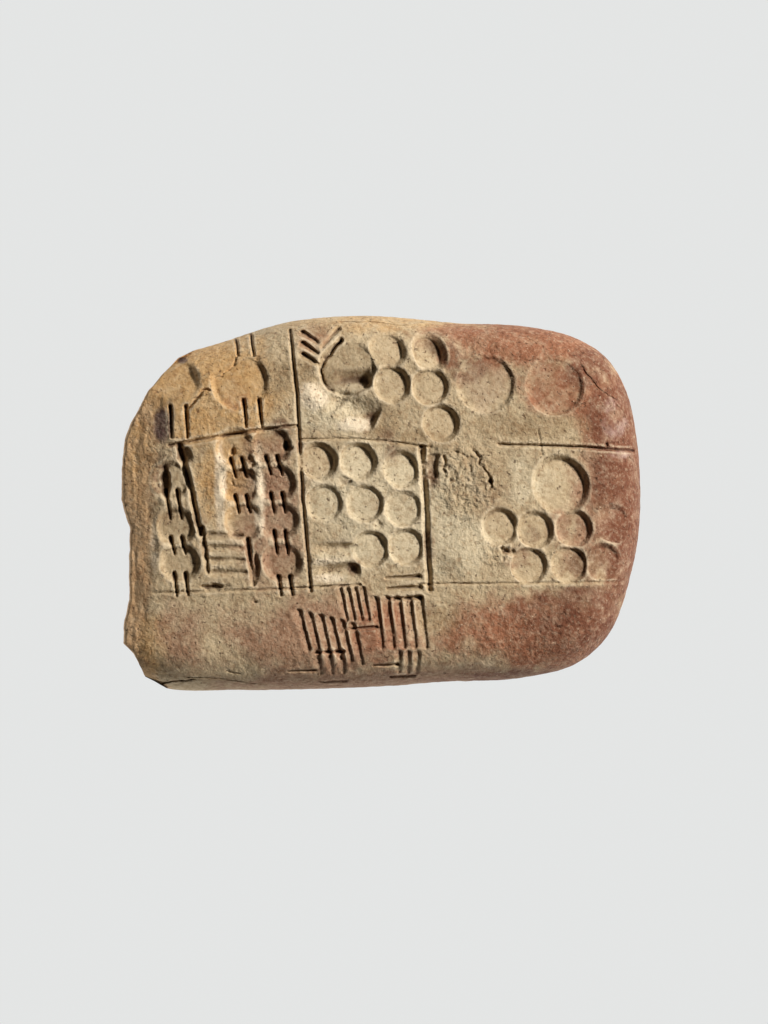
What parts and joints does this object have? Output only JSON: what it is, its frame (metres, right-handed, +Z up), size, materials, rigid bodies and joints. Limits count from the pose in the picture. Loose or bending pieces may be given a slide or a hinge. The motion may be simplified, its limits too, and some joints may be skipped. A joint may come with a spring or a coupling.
{
  "type": "cuneiform tablet",
  "caption": "Cushion-shaped clay account tablet, ruled into cases with round number marks and rows of strokes, its left end broken away.",
  "frame": {"origin": "middle of the bounding box's underside, on the flat worn spot of the convex back that the tablet rests on", "axes": "+X along the face to the right, away from the broken end; +Y towards the upper edge of the face; +Z up, out of the inscribed face"},
  "size_m": [0.0699, 0.0506, 0.0184],
  "materials": {
    "clay": "matte, dry unglazed clay, buff to terracotta, with dark staining at the broken end"
  },
  "bodies": {
    "root": {"tablet": "clay"}
  },
  "joints": []
}
